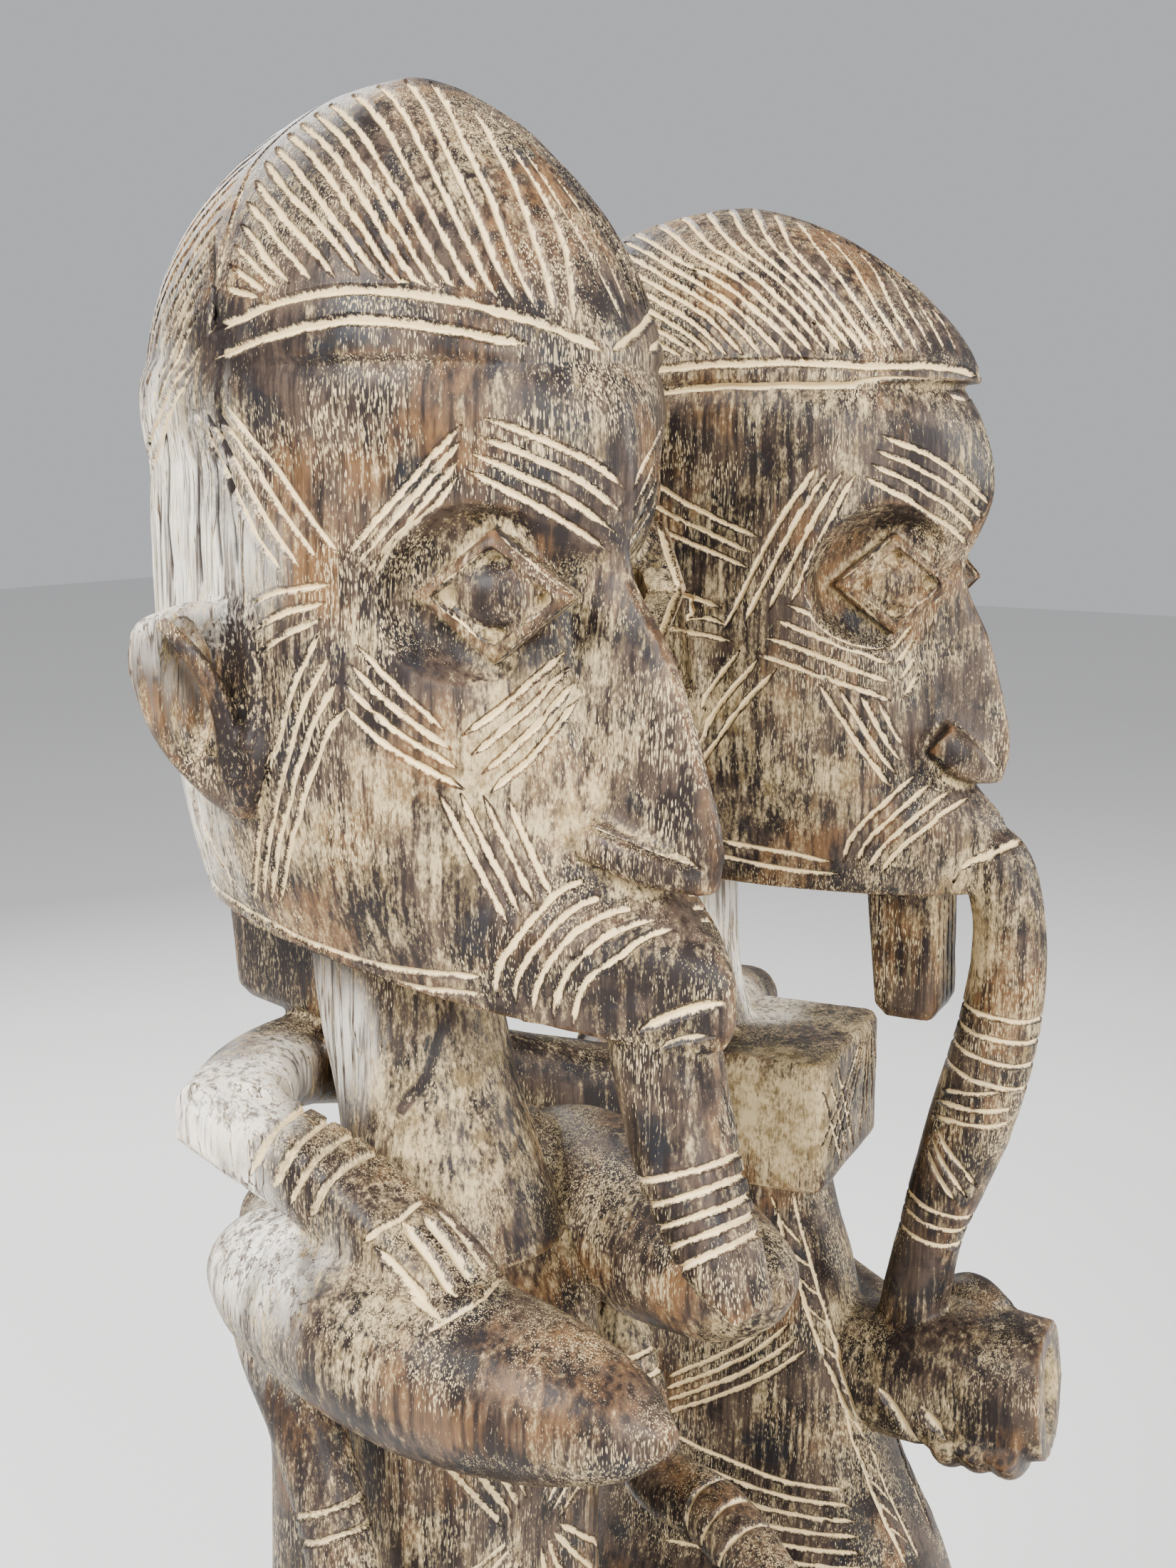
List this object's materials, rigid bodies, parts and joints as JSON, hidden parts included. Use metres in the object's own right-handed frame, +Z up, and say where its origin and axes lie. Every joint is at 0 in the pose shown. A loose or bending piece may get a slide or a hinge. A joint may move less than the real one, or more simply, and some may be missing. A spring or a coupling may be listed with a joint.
{
  "type": "dogon couple figure",
  "caption": "Carved wooden ancestor couple seated side by side on a shared stool and low base, with scarified faces under fluted caps; a stand-alone display figure.",
  "frame": {"origin": "centre of the base's underside", "axes": "+Z up; the couple faces -Y, with the woman at -X and the man at +X"},
  "size_m": [0.324, 0.244, 0.6761],
  "materials": {
    "couple_figure": "worn dark-brown hardwood, satin where it has been rubbed, pale clay left in the carved lines and pores"
  },
  "bodies": {
    "root": {"couple_figure": "couple_figure"}
  },
  "joints": []
}
